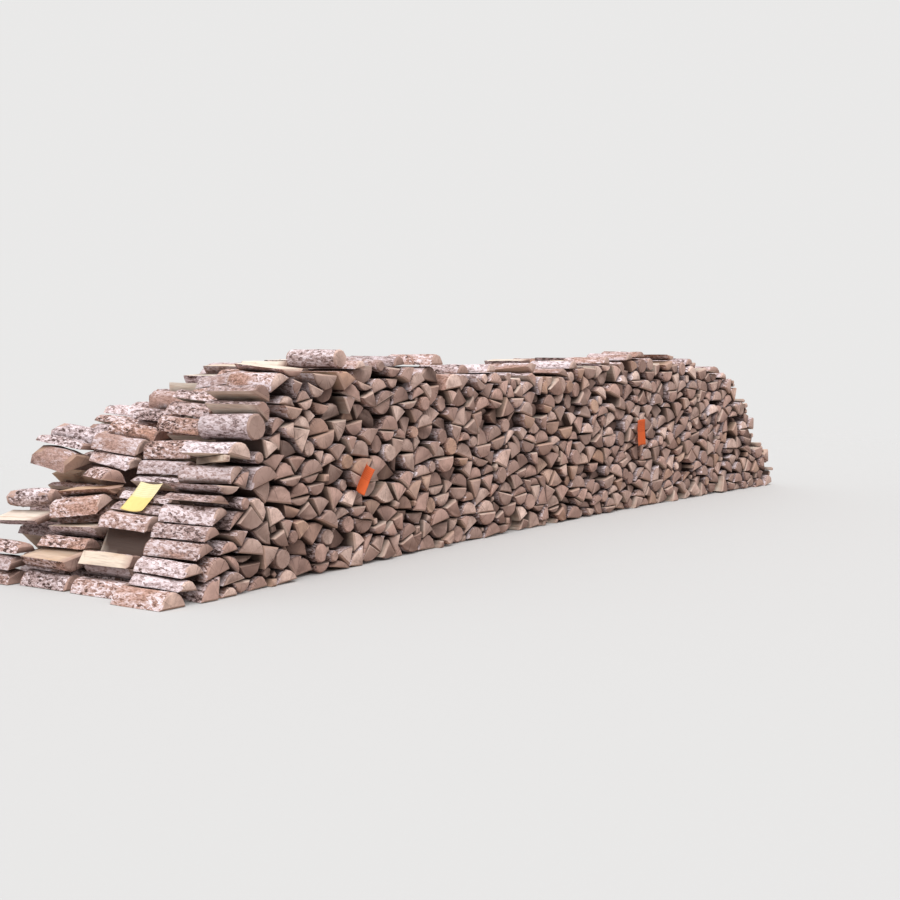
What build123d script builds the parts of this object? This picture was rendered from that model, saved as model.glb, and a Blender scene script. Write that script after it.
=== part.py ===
from build123d import *
import math
import os
import random
import numpy as np

# Size of the pile, in mm. X runs along the rows, Y goes back through them, Z is up.
pile_length = 8090
pile_height = 1330
row_count = 4
row_gap = 34
bow = 195

# Size of a log
log_length = 400
length_spread = 16
end_play = 9
front_push = 32
cut_skew = 0.09
half_radius = (68, 114)
wedge_radius = (95, 155)
wedge_angle = (58, 104)
slab_radius = (82, 124)
round_radius = (42, 76)
stick_radius = (20, 34)

# Half rounds and rounds past these sizes get one more corner
stout_half = 91
stout_round = 60

# One front log in so many is short and set back
short_share = 0.1
short_by = (15, 55)

# Share of each kind of log, and how uneven its bark side is
kind_shares = {"half": 38, "wedge": 34, "slab": 9, "round": 12, "stick": 7}
bark_unevenness = 0.05

# Packing: the clearance that logs rest at, and how finely places and turns are tried
seat_clearance = 0.3
trial_step = 6
trial_turns = 14
void_weight = 0.6
pile_seed = 11

# The front row's logs are kept in bays of equal length
bay_count = 4

# Left slope of each row, behind the front row's slope logs and over the other rows' core:
# run in from the end of the pile, share of the pile's height
left_slopes = [
    [(120, 0), (140, 0.08), (200, 0.15), (310, 0.20), (380, 0.27), (400, 0.34), (500, 0.39), (555, 0.45),
     (615, 0.55), (740, 0.63), (805, 0.72), (840, 0.79), (945, 0.84), (1110, 0.90), (1200, 1.0)],
    [(0, 0), (60, 0.14), (190, 0.25), (270, 0.32), (340, 0.40), (430, 0.47), (490, 0.56), (570, 0.64),
     (660, 0.70), (850, 0.82), (1250, 0.89), (1810, 1.0)],
    [(0, 0), (90, 0.15), (150, 0.22), (230, 0.31), (280, 0.40), (430, 0.42), (460, 0.50), (500, 0.56),
     (650, 0.66), (700, 0.69), (880, 0.72), (1150, 0.80), (1400, 0.86), (1910, 0.90), (2430, 1.0)],
    [(0, 0), (20, 0.20), (160, 0.34), (230, 0.42), (400, 0.45), (450, 0.52), (480, 0.60), (650, 0.645),
     (830, 0.69), (1000, 0.71), (1250, 0.75), (1500, 0.81), (1750, 0.87), (1930, 0.90), (2400, 0.935),
     (3040, 1.0)],
]

# Right slope of all rows: run in from the end, share of the height
right_slope = [(0, 0), (80, 0.17), (410, 0.41), (570, 0.60), (970, 0.83), (1320, 0.92)]

# Top of the rows: share of the way from the left slope to the right one, height below the top
top_line = [(0, 60), (0.03, 115), (0.06, 115), (0.1, 90), (0.2, 95), (0.33, 160), (0.59, 140), (0.78, 55),
            (1, 116)]

# The plain core stands in for the hidden logs of the back rows, this far inside their outline
core_cover = 190
core_top_cover = 160

# Slope logs, laid one by one from the ground up: the middle of the front end along the row,
# kind, radius, where its split side or its thin edge faces (0 right, 90 up) and its turn in plan
slope_logs = [
    [(-60, "half", 95, -90, 0), (60, "half", 74, -85, 2), (95, "half", 84, -75, 0),
     (205, "half", 78, -65, 9), (265, "half", 74, -70, 10), (330, "half", 84, -60, 11),
     (335, "slab", 88, -90, 3), (395, "slab", 102, 92, 0), (520, "wedge", 105, -60, 4),
     (465, "half", 70, -60, 7), (400, "stick", 27, 40, -22), (500, "half", 92, -110, 0),
     (640, "round", 92, 0, 2), (715, "half", 84, -140, 3), (700, "half", 80, -125, 0),
     (850, "half", 88, -70, -3), (985, "slab", 108, 100, 2)],
    [(45, "half", 94, -90, 1), (130, "half", 86, 95, 0), (110, "half", 84, -85, 3),
     (235, "half", 80, 165, -2), (265, "half", 92, -80, 2), (355, "wedge", 98, -75, 5),
     (420, "half", 60, -90, 4), (512, "wedge", 96, -95, 0), (560, "half", 72, -80, 3),
     (620, "half", 84, -70, 4), (705, "half", 80, -85, -3), (790, "half", 86, -80, -4),
     (900, "half", 80, -95, 5), (995, "half", 62, -80, -2), (1090, "half", 88, -80, 0)],
    [(45, "half", 92, -90, 0), (50, "half", 100, 106, -2), (180, "half", 78, -85, 3),
     (265, "half", 84, 93, 0), (330, "wedge", 108, -30, 6), (285, "half", 88, -78, 9),
     (385, "slab", 100, 103, 11), (395, "half", 82, -110, -24), (550, "half", 76, -80, -5),
     (620, "half", 84, -80, 4), (770, "half", 86, -85, 6), (985, "half", 80, -85, 0),
     (1065, "half", 84, -70, -4), (885, "half", 64, -90, -6)],
    [(5, "half", 96, -90, 0), (0, "half", 84, -88, 2), (50, "half", 76, -80, 0),
     (210, "slab", 110, 93, 3), (300, "round", 70, 0, 5), (480, "half", 108, -85, -7),
     (560, "half", 66, -90, 4), (700, "half", 78, -80, 8), (910, "half", 94, -75, -6),
     (1050, "half", 72, -95, 3), (1180, "half", 86, -85, 10), (1420, "half", 80, -90, -5),
     (1660, "half", 90, -80, 4), (1825, "slab", 88, 95, -3), (1310, "half", 64, -80, -3),
     (1540, "half", 66, -75, 4), (1760, "half", 64, -85, -4)],
]

# Packed logs start this far along each row, and the thin ones lie farther inside
slope_reach = [0, 1180, 1150, 1930]
stick_cover = 160

# Logs lying on top of the front row: as above
top_logs = [(1440, "round", 74, 0, 0), (1660, "half", 60, -90, 3), (1880, "round", 48, 0, -4),
            (2090, "half", 76, -85, 6), (2530, "half", 88, -95, 4), (2860, "half", 72, -80, -3),
            (3230, "half", 66, -90, 5), (3800, "wedge", 96, -90, -5), (4420, "half", 70, -95, 3),
            (4960, "half", 74, -90, 7), (5330, "half", 68, -85, 4), (5520, "slab", 92, -90, -4),
            (6060, "slab", 88, 92, 3), (6400, "half", 66, -90, -3)]

# How far a slope log may rock as it settles, in degrees
rock_turns = (-10, -5, 0, 5, 10)
rock_pitches = (-7, -5, -3, -1.5, 0, 1.5, 3, 5, 7)

# Paper tags: place along the pile, height, size, turn in degrees
tag_thickness = 0.6
tag_log_push = 50
left_tag = {"x": 1585, "z": 545, "width": 130, "height": 155, "turn": -35}
right_tag = {"x": 5400, "z": 640, "width": 140, "height": 216, "turn": 4}
yellow_tag = {"x": 345, "depth": 630, "width": 143, "height": 212}
yellow_tag_pitches = range(32, 62, 3)


def bow_at(x):
    """How far back the bowed face of the pile lies at x, on a circle through both its ends."""
    if bow == 0:
        return 0.0
    radius = (pile_length ** 2 / 4 + bow ** 2) / (2 * bow)
    reach = x - pile_length / 2
    return math.sqrt(radius ** 2 - reach ** 2) - radius + bow


def left_edge(row):
    """Left slope of a row as heights and places."""
    heights = np.array([z for _, z in left_slopes[row]]) * pile_height
    return heights, np.array([x for x, _ in left_slopes[row]], dtype=float)


def right_edge():
    """Right slope as heights and places."""
    heights = np.array([z for _, z in right_slope]) * pile_height
    return heights, pile_length - np.array([x for x, _ in right_slope])


def top_edge(row):
    """Top line of a row as places and heights."""
    start = left_edge(row)[1][-1]
    stop = right_edge()[1][-1]
    places = start + np.array([share for share, _ in top_line]) * (stop - start)
    return places, pile_height - np.array([drop for _, drop in top_line])


def arc_points(radius, first, last, count, rng):
    """Corners on the bark side of a log, each a little nearer to or farther from its heart."""
    corners = []
    for angle in np.linspace(first, last, count):
        reach = radius * (1 + rng.uniform(-bark_unevenness, bark_unevenness))
        corners.append((reach * math.cos(math.radians(angle)), reach * math.sin(math.radians(angle))))
    return corners


def log_section(kind, radius, rng):
    """Convex section of one log, counter-clockwise about its own centre, its split side down."""
    if kind == "half":
        corners = arc_points(radius, 0, 180, 4 if radius < stout_half else 5, rng)
    elif kind == "wedge":
        angle = rng.uniform(*wedge_angle)
        corners = arc_points(radius, 90 - angle / 2, 90 + angle / 2, 3, rng)
        corners.append((0, 0))
    elif kind == "slab":
        corners = arc_points(radius, 24, 156, 4, rng)
    elif kind == "round":
        count = 5 if radius < stout_round else 6
        corners = arc_points(radius, 0, 360 - 360 / count, count, rng)
    else:
        corners = arc_points(radius, 0, 270, 4, rng)
    outline = convex_hull(corners)
    return outline - centre_of(outline)


def random_section(rng):
    """A log of a kind and size taken by chance."""
    radii = {"half": half_radius, "wedge": wedge_radius, "slab": slab_radius, "round": round_radius,
             "stick": stick_radius}
    kind = rng.choices(list(kind_shares), kind_shares.values())[0]
    return log_section(kind, rng.uniform(*radii[kind]), rng)


def convex_hull(corners):
    """Corners of the convex hull, counter-clockwise."""
    ordered = sorted(corners)

    def chain(points):
        kept = []
        for x, z in points:
            while len(kept) > 1:
                (ax, az), (bx, bz) = kept[-2], kept[-1]
                if (bx - ax) * (z - az) - (bz - az) * (x - ax) > 0:
                    break
                kept.pop()
            kept.append((x, z))
        return kept[:-1]

    return np.array(chain(ordered) + chain(ordered[::-1]))


def centre_of(outline):
    """Centre of gravity of a flat outline."""
    following = np.roll(outline, -1, axis=0)
    cross = outline[:, 0] * following[:, 1] - following[:, 0] * outline[:, 1]
    return ((outline + following) * cross[:, None]).sum(axis=0) / (3 * cross.sum())


def turned(outline, angle):
    """Outline turned about its centre."""
    cosine, sine = math.cos(angle), math.sin(angle)
    return outline @ np.array([[cosine, sine], [-sine, cosine]])


def under_and_upper(outline):
    """Underside and upper side of an outline, each from left to right."""
    count = len(outline)
    leftmost, rightmost = int(np.argmin(outline[:, 0])), int(np.argmax(outline[:, 0]))
    under, upper = [leftmost], [rightmost]
    while under[-1] != rightmost:
        under.append((under[-1] + 1) % count)
    while upper[-1] != leftmost:
        upper.append((upper[-1] + 1) % count)
    return outline[under], outline[upper[::-1]]


class Row:
    """One row of logs, seen from the front, which grows as logs are dropped on it."""

    def __init__(self, number, core=None):
        self.rng = random.Random(pile_seed + number)
        self.left = left_edge(number)
        self.reach = slope_reach[number]
        self.right = right_edge()
        self.top = top_edge(number)
        self.places = np.arange(0, pile_length + trial_step, trial_step, dtype=float)
        self.surface = np.zeros(len(self.places))
        self.outlines = []
        self.uppers = []
        if core is not None:
            self.uppers.append(core)
            self.surface = np.interp(self.places, core[:, 0], core[:, 1], left=0, right=0)

    def lowest_place(self, section):
        """Place where this section would lie lowest with the least empty space under it."""
        under, _ = under_and_upper(section)
        low, high = section[:, 0].min(), section[:, 0].max()
        count = int((high - low) / trial_step) + 2
        offsets = low + np.arange(count) * trial_step
        inside = offsets <= high
        underside = np.where(inside, np.interp(offsets, under[:, 0], under[:, 1]), 1e6)
        beneath = np.lib.stride_tricks.sliding_window_view(self.surface, count)
        heights = (beneath - underside).max(axis=1)
        centres = self.places[:len(heights)] - low
        empty = np.where(inside, heights[:, None] + underside - beneath, 0).sum(axis=1) * trial_step
        summit = heights + section[:, 1].max()
        cover = stick_cover if high - low < 2 * stick_radius[1] else 0
        fits = centres + low >= np.maximum(np.interp(heights, *self.left) + cover, self.reach)
        fits &= centres + high <= np.interp(heights, *self.right)
        fits &= summit <= np.interp(centres, *self.top)
        if not fits.any():
            return None
        cost = np.where(fits, heights + 0.3 * section[:, 1].max() + void_weight * empty / (high - low), 1e9)
        best = int(np.argmin(cost))
        return cost[best], centres[best]

    def resting_height(self, section, centre):
        """Height at which the section comes to rest on the logs below it."""
        under, _ = under_and_upper(section)
        under = under + (centre, 0)
        rest = -under[:, 1].min()
        for upper in self.uppers:
            start = max(under[0, 0], upper[0, 0])
            stop = min(under[-1, 0], upper[-1, 0])
            if start >= stop:
                continue
            knots = np.concatenate(([start, stop], under[:, 0], upper[:, 0])).clip(start, stop)
            rise = np.interp(knots, *upper.T) - np.interp(knots, *under.T)
            rest = max(rest, rise.max() + seat_clearance)
        return rest

    def drop(self, section, centre):
        """Lay a log on the row."""
        outline = section + (centre, self.resting_height(section, centre))
        upper = under_and_upper(outline)[1]
        reach = self.places >= upper[0, 0] - trial_step / 2
        reach &= self.places <= upper[-1, 0] + trial_step / 2
        self.surface[reach] = np.maximum(self.surface[reach], np.interp(self.places[reach], *upper.T))
        self.uppers.append(upper)
        self.outlines.append(outline)

    def fill(self):
        """Drop logs, each turned the way it lies best, until no more fits under the row's outline."""
        misses = 0
        while misses < 6:
            best = None
            section = random_section(self.rng)
            for turn in range(trial_turns):
                trial = turned(section, (turn + self.rng.random()) * 2 * math.pi / trial_turns)
                place = self.lowest_place(trial)
                if place and (best is None or place[0] < best[0]):
                    best = (*place, trial)
            if best is None:
                misses += 1
                continue
            misses = 0
            self.drop(best[2], best[1])


def core_outline(row):
    """Upper side of the core within one row, set in from the slopes and the top of the row."""
    left_z, left_x = left_edge(row)
    right_z, right_x = right_edge()
    top_x, top_z = top_edge(row)
    places = np.concatenate((left_x, top_x[1:-1], right_x[::-1]))
    heights = np.concatenate((left_z, top_z[1:-1], right_z[::-1]))
    stations = np.unique(np.concatenate((left_x + core_cover, top_x, right_x - core_cover)))
    stations = stations[(stations >= left_x[0] + core_cover) & (stations <= right_x[0] - core_cover)]
    sides = [np.interp(stations + side, places, heights) for side in (-core_cover, core_cover)]
    roof = np.minimum(np.minimum(*sides), np.interp(stations, places, heights) - core_top_cover)
    return np.column_stack((stations, roof.clip(min=0)))


def row_front(row):
    """Depth of the front of a row at the ends of the pile."""
    return row * (log_length + row_gap)


class Body:
    """A convex solid: its corners, its edges, and the planes of its faces."""

    def __init__(self, corners, faces):
        self.corners = corners
        loops = [(face, face[1:] + face[:1]) for face in faces]
        pairs = {tuple(sorted(pair)) for face, after in loops for pair in zip(face, after)}
        self.edges = corners[np.array(sorted(pairs))]
        first, second, third = (corners[[face[i] for face in faces]] for i in range(3))
        normals = np.cross(second - first, third - first)
        self.normals = normals / np.linalg.norm(normals, axis=1)[:, None]
        middle = corners.mean(axis=0)
        self.normals[((first - middle) * self.normals).sum(axis=1) < 0] *= -1
        self.offsets = (first * self.normals).sum(axis=1)
        self.low, self.high = corners.min(axis=0), corners.max(axis=0)

    def span(self, spots):
        """Lowest and highest height of the body at spots in plan, crossed over where it isn't there."""
        slack = self.offsets[:, None] - self.normals[:, :2] @ spots.T
        rise = self.normals[:, 2]
        facing_up, facing_down = rise > 1e-9, rise < -1e-9
        top = (slack[facing_up] / rise[facing_up, None]).min(axis=0)
        bottom = (slack[facing_down] / rise[facing_down, None]).max(axis=0)
        upright = ~(facing_up | facing_down)
        top[(slack[upright] < -1e-6).any(axis=0)] = -np.inf
        return bottom, top


def crossings(first, second):
    """Spots in plan where the edges of two bodies cross."""
    start, run = first.edges[:, 0, :2], first.edges[:, 1, :2] - first.edges[:, 0, :2]
    other, other_run = second.edges[:, 0, :2], second.edges[:, 1, :2] - second.edges[:, 0, :2]
    gap = other[None] - start[:, None]
    cross = run[:, None, 0] * other_run[None, :, 1] - run[:, None, 1] * other_run[None, :, 0]
    with np.errstate(divide="ignore", invalid="ignore"):
        along = (gap[..., 0] * other_run[None, :, 1] - gap[..., 1] * other_run[None, :, 0]) / cross
        beside = (gap[..., 0] * run[:, None, 1] - gap[..., 1] * run[:, None, 0]) / cross
        spots = start[:, None] + along[..., None] * run[:, None]
    return spots[(along >= 0) & (along <= 1) & (beside >= 0) & (beside <= 1)]


def lift_over(body, beneath):
    """How far a body must rise to clear the one beneath it."""
    if (body.high[:2] <= beneath.low[:2]).any() or (body.low[:2] >= beneath.high[:2]).any():
        return -np.inf
    spots = np.concatenate((body.corners[:, :2], beneath.corners[:, :2], crossings(body, beneath)))
    bottom, top = body.span(spots)
    floor, roof = beneath.span(spots)
    shared = (bottom <= top + 1e-6) & (floor <= roof + 1e-6)
    return (roof - bottom)[shared].max() if shared.any() else -np.inf


def log_body(section, length, frame=None):
    """The solid of a log, its section on a level axis that runs back along Y, put in its frame."""
    count = len(section)
    ends = [np.column_stack((section[:, 0], np.full(count, y), section[:, 1])) for y in (0, length)]
    corners = np.concatenate(ends)
    sides = [[i, (i + 1) % count, count + (i + 1) % count, count + i] for i in range(count)]
    if frame is not None:
        turn, place = frame
        corners = corners @ turn.T + place
    return Body(corners, [list(range(count)), list(range(count, 2 * count)), *sides])


def turn_of(yaw, pitch):
    """Turn in plan, then the rear end up, as a matrix."""
    yaw, pitch = math.radians(yaw), math.radians(pitch)
    left, ahead = math.sin(yaw), math.cos(yaw)
    rise, run = math.sin(pitch), math.cos(pitch)
    plan = np.array([[ahead, -left, 0], [left, ahead, 0], [0, 0, 1]])
    return plan @ np.array([[1, 0, 0], [0, run, -rise], [0, rise, run]])


class Heap:
    """Everything laid down so far, on which a log or a tag settles from above."""

    def __init__(self):
        self.bodies = []

    def rest(self, body):
        """How far the body rises or sinks to lie on the heap at the seat's clearance."""
        lifts = [lift_over(body, beneath) for beneath in self.bodies] or [-np.inf]
        return max(max(lifts) + seat_clearance, -body.low[2])

    def settle(self, number, x, section, yaw):
        """Rock a log until its middle lies as low as it can, and lay it down."""
        width = np.ptp(section[:, 0])
        lean = math.radians(abs(yaw))
        length = (log_length - end_play - width * math.sin(lean)) / math.cos(lean)
        best = None
        for roll in rock_turns:
            rolled = turned(section, math.radians(roll))
            for pitch in rock_pitches:
                turn = turn_of(yaw, pitch)
                middle = x - math.sin(math.radians(yaw)) * length / 2
                depth = row_front(number) + log_length / 2 + bow_at(min(max(middle, 0), pile_length))
                place = np.array([middle, depth, 0]) - turn @ np.array([0, length / 2, 0])
                body = log_body(rolled, length, (turn, place))
                height = self.rest(body)
                if best is None or height < best[0]:
                    best = (height, rolled, turn, place + (0, 0, height))
        _, rolled, turn, place = best
        self.bodies.append(log_body(rolled, length, (turn, place)))
        return rolled, length, turn, place


def core_blocks(number, outline):
    """The left part of a row's core as narrow upright blocks that follow the bow."""
    stations = np.union1d(outline[:, 0], np.arange(outline[0, 0], max(slope_reach) + log_length, 120))
    heights = np.interp(stations, *outline.T)
    near = row_front(number) - row_gap / 2
    blocks = []
    for start, stop, first, last in zip(stations[:-1], stations[1:], heights[:-1], heights[1:]):
        if start < max(slope_reach) + log_length:
            depth = near + min(bow_at(start), bow_at(stop))
            length = log_length + row_gap + abs(bow_at(stop) - bow_at(start))
            block = np.array([(start, 0), (stop, 0), (stop, last + 0.001), (start, first + 0.001)])
            blocks.append(log_body(block, length, (np.eye(3), np.array([0, depth, 0]))))
    return blocks


def slope_log(number, entry, heap, rng):
    """One hand-laid log, as a solid."""
    x, kind, radius, facing, yaw = entry
    section = turned(log_section(kind, radius, rng), math.radians(facing + 90))
    section, length, turn, place = heap.settle(number, x, section, yaw)
    with BuildPart() as log:
        with BuildSketch(Plane.XZ):
            with BuildLine():
                Polyline(*[(corner[0], corner[1]) for corner in section], close=True)
            make_face()
        extrude(amount=-length)
    seat = Plane(origin=tuple(place), x_dir=tuple(turn[:, 0]), z_dir=tuple(turn[:, 2]))
    return log.part.solids()[0].moved(seat.location)


def saw_log(outline, front, length, skew):
    """One log: its section on a slightly skewed saw cut, drawn out along the grain."""
    x, z = centre_of(outline)
    lean_x, lean_z = skew
    cut = Plane(origin=(x, front, z), x_dir=(1, lean_x, 0), z_dir=(lean_x, -1, lean_z))
    corners = []
    for corner_x, corner_z in outline:
        depth = front + lean_x * (corner_x - x) + lean_z * (corner_z - z)
        corners.append(cut.to_local_coords(Vector(corner_x, depth, corner_z)))
    with BuildPart() as log:
        with BuildSketch(cut):
            with BuildLine():
                Polyline(*[(corner.X, corner.Y) for corner in corners], close=True)
            make_face()
        extrude(amount=length, dir=(0, 1, 0))
    return log.part.solids()[0]


def saw_row(row, number, tagged=()):
    """All logs of a row, each pushed in or out a little, with their outlines' places."""
    logs = []
    for index, outline in enumerate(row.outlines):
        x = centre_of(outline)[0]
        push = row.rng.uniform(-end_play, end_play)
        skew = (row.rng.uniform(-cut_skew, cut_skew), row.rng.uniform(-cut_skew, cut_skew))
        length = log_length - row.rng.uniform(0, length_spread)
        if number == 0:
            push = row.rng.uniform(-front_push, end_play)
        if number == 0 and row.rng.random() < short_share:
            push = row.rng.uniform(*short_by)
            length = log_length - push
        if index in tagged:
            push = -tag_log_push
            skew = (0, 0)
        logs.append((x, saw_log(outline, row_front(number) + bow_at(x) + push, length, skew)))
    return logs


def log_under(row, spot):
    """Number of the log whose end is nearest to a spot on the face of the row."""
    gaps = [math.hypot(*(centre_of(outline) - (spot["x"], spot["z"]))) for outline in row.outlines]
    return int(np.argmin(gaps))


def core_band(number, outline):
    """The hidden part of one back row: its outline drawn back through the row between two bowed faces."""
    near = row_front(number) - (row_gap / 2 if number > 1 else -end_play)
    far = row_front(number) + log_length + (row_gap / 2 if number < row_count - 1 else -end_play)
    with BuildPart() as band:
        with BuildSketch():
            with BuildLine():
                ThreePointArc((0, near), (pile_length / 2, near + bow), (pile_length, near))
                Line((pile_length, near), (pile_length, far))
                ThreePointArc((pile_length, far), (pile_length / 2, far + bow), (0, far))
                Line((0, far), (0, near))
            make_face()
        extrude(amount=pile_height)
        with BuildSketch(Plane.XZ):
            with BuildLine():
                Polyline(*[(x, z) for x, z in outline], close=True)
            make_face()
        extrude(amount=-(far + bow), mode=Mode.INTERSECT)
    return band.part


def flat_tag(spot, seat, turn=0):
    """A paper tag whose back lies at its seat's clearance from what it rests on."""
    with BuildPart() as tag:
        with BuildSketch(seat.offset(seat_clearance)):
            Rectangle(spot["width"], spot["height"], rotation=turn)
        extrude(amount=tag_thickness)
    return tag.part.solids()[0]


def face_tag(spot):
    """A tag flat on the pushed-out end of the log behind it."""
    log_x = centre_of(rows[0].outlines[log_under(rows[0], spot)])[0]
    place = (spot["x"], bow_at(log_x) - tag_log_push, spot["z"])
    seat = Plane(origin=place, x_dir=(1, 0, 0), z_dir=(0, -1, 0))
    return flat_tag(spot, seat, spot["turn"])


def slope_tag(spot):
    """A tag lying down the left slope, tilted as it lies lowest on the logs."""
    best = None
    for pitch in yellow_tag_pitches:
        run, rise = math.cos(math.radians(pitch)), math.sin(math.radians(pitch))
        half = spot["height"] / 2
        section = np.array([(-half * run, -half * rise), (half * run, half * rise),
                            (half * run - rise * tag_thickness, half * rise + run * tag_thickness),
                            (-half * run - rise * tag_thickness, -half * rise + run * tag_thickness)])
        place = np.array([spot["x"], spot["depth"] + bow_at(spot["x"]) - spot["width"] / 2, 0])
        height = heap.rest(log_body(section, spot["width"], (np.eye(3), place)))
        if best is None or height < best[0]:
            best = (height, section, place)
    height, section, place = best
    with BuildPart() as tag:
        with BuildSketch(Plane.XZ):
            with BuildLine():
                Polyline(*[(corner[0], corner[1]) for corner in section], close=True)
            make_face()
        extrude(amount=-spot["width"])
    return tag.part.solids()[0].moved(Location((place[0], place[1], height)))


os.makedirs("parts", exist_ok=True)

# Rows
rows = [Row(0)]
rows[0].fill()
cores = []
for number in range(1, row_count):
    cores.append(core_outline(number))
    rows.append(Row(number, cores[-1]))
    rows[-1].fill()

tagged = {log_under(rows[0], left_tag): left_tag, log_under(rows[0], right_tag): right_tag}
sawn_rows = [saw_row(row, number, tagged if number == 0 else ()) for number, row in enumerate(rows)]

# Slope logs and top logs settle on what the rows hold so far
heap = Heap()
for number, row in enumerate(rows):
    depth = row_front(number) - end_play
    for outline in row.outlines:
        x = centre_of(outline)[0]
        if x < max(slope_reach) + log_length or number == 0:
            place = np.array([0, depth + bow_at(x), 0])
            heap.bodies.append(log_body(outline, log_length + 2 * end_play, (np.eye(3), place)))
    if number:
        heap.bodies += core_blocks(number, cores[number - 1])
hand_rng = random.Random(pile_seed)
slope_solids = [[slope_log(number, entry, heap, hand_rng) for entry in entries]
                for number, entries in enumerate(slope_logs)]
top_solids = [slope_log(0, entry, heap, hand_rng) for entry in top_logs]
for number, row in enumerate(rows):
    print("row", number + 1, len(row.outlines) + len(slope_solids[number]), "logs")

# Core of the back rows
core = core_band(1, cores[0])
for number in range(2, row_count):
    core = core + core_band(number, cores[number - 1])

bay_length = pile_length / bay_count
nodes = {}
for bay in range(bay_count):
    stretch = (bay * bay_length, (bay + 1) * bay_length)
    nodes[f"front_row_bay_{bay + 1}"] = [log for x, log in sawn_rows[0] if stretch[0] <= x < stretch[1]]
back_labels = ("second_row_logs", "third_row_logs", "back_row_logs")
for label, row, laid in zip(back_labels, sawn_rows[1:], slope_solids[1:]):
    nodes[label] = [log for _, log in row] + laid
nodes["front_row_bay_1"] += slope_solids[0]
for entry, log in zip(top_logs, top_solids):
    nodes[f"front_row_bay_{int(entry[0] // bay_length) + 1}"].append(log)
nodes["hidden_core"] = core.solids()
nodes["orange_tag_left"] = [face_tag(left_tag)]
nodes["orange_tag_right"] = [face_tag(right_tag)]
nodes["yellow_tag"] = [slope_tag(yellow_tag)]

# The middle of the pile's underside goes to the origin
boxes = [solid.bounding_box() for solids in nodes.values() for solid in solids]
low = [min(tuple(box.min)[axis] for box in boxes) for axis in range(3)]
high = [max(tuple(box.max)[axis] for box in boxes) for axis in range(3)]
shift = Location((-(low[0] + high[0]) / 2, -(low[1] + high[1]) / 2, -low[2]))
print("moved by", shift.position)

for label, solids in nodes.items():
    node = Compound(solids) if len(solids) > 1 else solids[0]
    node = node.moved(shift)
    node.label = label
    export_step(node, f"parts/{label}.step")
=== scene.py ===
"""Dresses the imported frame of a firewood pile.

Adds bark, split faces, sawn ends, paper tags and a studio.
"""

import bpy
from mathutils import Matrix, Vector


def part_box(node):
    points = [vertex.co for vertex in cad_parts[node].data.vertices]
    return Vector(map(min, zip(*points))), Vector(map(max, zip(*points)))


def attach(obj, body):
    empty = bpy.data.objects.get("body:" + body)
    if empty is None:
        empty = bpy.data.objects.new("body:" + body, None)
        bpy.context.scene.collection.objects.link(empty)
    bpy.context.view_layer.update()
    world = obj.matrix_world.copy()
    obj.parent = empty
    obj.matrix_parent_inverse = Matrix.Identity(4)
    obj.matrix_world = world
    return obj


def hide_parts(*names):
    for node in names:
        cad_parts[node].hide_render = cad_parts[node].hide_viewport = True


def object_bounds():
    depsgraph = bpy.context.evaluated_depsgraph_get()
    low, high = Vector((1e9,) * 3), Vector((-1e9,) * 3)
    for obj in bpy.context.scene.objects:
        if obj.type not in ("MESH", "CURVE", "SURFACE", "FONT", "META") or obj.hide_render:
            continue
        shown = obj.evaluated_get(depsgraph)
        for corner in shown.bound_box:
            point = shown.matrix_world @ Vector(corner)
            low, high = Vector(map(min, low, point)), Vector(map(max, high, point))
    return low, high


bl_info = {
    "name": "Stack of logs",
    "version": (1, 0, 0),
    "blender": (4, 5, 0),
    "location": "3D View > Sidebar > Log stack",
    "description": "Bark, split faces, sawn ends and paper tags for a pile of firewood",
    "category": "Object",
}

import math
import random
import bmesh
import bpy
import numpy as np
from mathutils import Vector, noise
from mathutils.bvhtree import BVHTree

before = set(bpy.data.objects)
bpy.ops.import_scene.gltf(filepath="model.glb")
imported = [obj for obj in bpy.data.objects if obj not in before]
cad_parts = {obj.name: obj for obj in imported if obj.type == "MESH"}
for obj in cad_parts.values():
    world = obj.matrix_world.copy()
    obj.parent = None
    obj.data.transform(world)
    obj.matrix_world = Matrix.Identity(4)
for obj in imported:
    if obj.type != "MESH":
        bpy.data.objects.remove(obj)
cad_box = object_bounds()

LOG_NODES = [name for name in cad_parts
             if name.startswith("front_row") or name.endswith("_row_logs")]
LOWEST = Vector(cad_box[0])

# Faces of a log, in the order of its material slots
SAWN, SPLIT, BARK = 0, 1, 2

# A log's long edges are longer than this, and its bark corners turn by less than these
# angles, the second one on a log that is round all over
LONG_EDGE = 0.33
BARK_CORNER = math.radians(66)
ROUND_LOG_CORNER = math.radians(88)

# Corners this close are one corner, and faces that turn by no more than this are one face
SAME_CORNER = 0.00002
SAME_FACE = math.radians(4)

# Share of the next edge that the round of the bark takes at a corner, in percent, and its
# steps on a log of the front row and on one of the rows behind, of which fewer are modelled
BARK_ROUND = 46
FRONT_STEPS = 2
REAR_STEPS = 3

# Edges that turn by more than this stay sharp
SHARP_TURN = math.radians(38)

# How far the heart of the tree lies from a log without bark
HEART_REACH = 0.09

# Rays round a corner that feel for other logs, to mark where painted shade darkens the gaps:
# their number, where they start, how steeply they stand on the surface and how far they reach
GAP_SHADE_RAYS = 8
GAP_SHADE_START = 0.006
GAP_SHADE_STEEPNESS = 0.6
GAP_SHADE_REACH = 0.16

# Waves per metre of the coarse and the fine hollows, their shift from log to log, and how
# deep the hollows are on average and how much either kind of wave adds, as shares
COARSE_WAVES = (16, 5, 16)
FINE_WAVES = (55, 14, 55)
WAVE_SHIFT = 50
MEAN_HOLLOW = 0.5
COARSE_SHARE = 0.6
FINE_SHARE = 0.35

# Height above which the core's corners are on its upper edges
CORE_FOOT = 0.02

# Rear ends on the core: what stays free at its two ends, how far the logs stand out of it,
# and a number that turns a log's place into a chance
BACK_MARGIN = 0.02
BACK_LEAST = 0.002
BACK_RANGE = 0.012
CHANCES_PER_METRE = 37.7

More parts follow.
